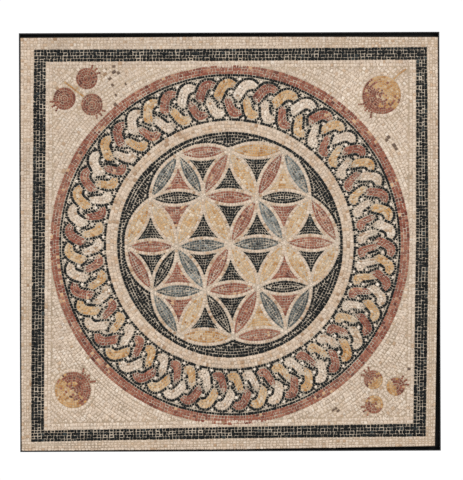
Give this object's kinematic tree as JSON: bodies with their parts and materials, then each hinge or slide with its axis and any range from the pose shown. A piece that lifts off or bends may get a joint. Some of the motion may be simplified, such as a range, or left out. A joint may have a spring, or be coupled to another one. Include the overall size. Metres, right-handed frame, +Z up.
{
  "type": "mosaic panel",
  "caption": "Square stone mosaic panel in a steel angle frame: a braided ring round a medallion of interlaced circles, with pomegranates in the corners and a dark border.",
  "frame": {"origin": "middle of the panel's flat back, which lies against the wall", "axes": "+Y points into the wall, so the picture faces -Y; +Z is up and +X is to the viewer's right"},
  "size_m": [1.502, 0.04, 1.496],
  "materials": {
    "frame_paint": "black paint on hot-rolled steel angle, satin, a little scuffed at the front edge",
    "mortar": "pale lime and cement mortar, matt and sandy",
    "pale_stone": "hand-cut cream limestone tesserae in pinkish and yellowish shades, worn matt",
    "black_stone": "hand-cut black and blue-black limestone tesserae, worn to a low sheen",
    "grey_stone": "hand-cut blue-grey marble tesserae, worn matt",
    "red_stone": "hand-cut brick-red limestone tesserae with some tan ones among them, matt",
    "ochre_stone": "hand-cut yellow ochre limestone tesserae, from tan to pale yellow, matt",
    "guilloche_stone": "braid of cream, red and ochre strands outlined in black tesserae, matt"
  },
  "bodies": {
    "root": {"angle_frame": "frame_paint", "mortar_slab": "mortar", "margin_field": "pale_stone", "black_border": "black_stone", "corner_ground": "pale_stone", "pomegranate_top_left_1": "red_stone", "pomegranate_top_left_2": "red_stone", "pomegranate_top_left_3": "red_stone", "pomegranate_top_right": "red_stone", "pomegranate_bottom_left": "red_stone", "pomegranate_bottom_right_1": "red_stone", "pomegranate_bottom_right_2": "red_stone", "pomegranate_bottom_right_3": "red_stone", "red_ring": "red_stone", "guilloche_ring": "guilloche_stone", "pale_ring": "pale_stone", "medallion_ground": "black_stone", "petal_01": "red_stone", "petal_02": "ochre_stone", "petal_03": "black_stone", "petal_04": "red_stone", "petal_05": "black_stone", "petal_06": "red_stone", "petal_07": "grey_stone", "petal_08": "grey_stone", "petal_09": "red_stone", "petal_10": "grey_stone", "petal_11": "red_stone", "petal_12": "black_stone", "petal_13": "ochre_stone", "petal_14": "red_stone", "petal_15": "grey_stone", "petal_16": "grey_stone", "petal_17": "red_stone", "petal_18": "ochre_stone", "petal_19": "red_stone", "petal_20": "grey_stone", "petal_21": "ochre_stone", "petal_22": "ochre_stone", "petal_23": "ochre_stone", "petal_24": "ochre_stone", "petal_25": "red_stone", "petal_26": "grey_stone", "petal_27": "ochre_stone", "petal_28": "red_stone", "petal_29": "red_stone", "petal_30": "black_stone", "petal_31": "grey_stone", "petal_32": "red_stone", "petal_33": "ochre_stone", "petal_34": "ochre_stone", "petal_35": "ochre_stone", "petal_36": "ochre_stone", "petal_37": "grey_stone", "petal_38": "ochre_stone", "petal_39": "black_stone", "petal_40": "red_stone", "petal_41": "grey_stone", "petal_42": "grey_stone"}
  },
  "joints": []
}
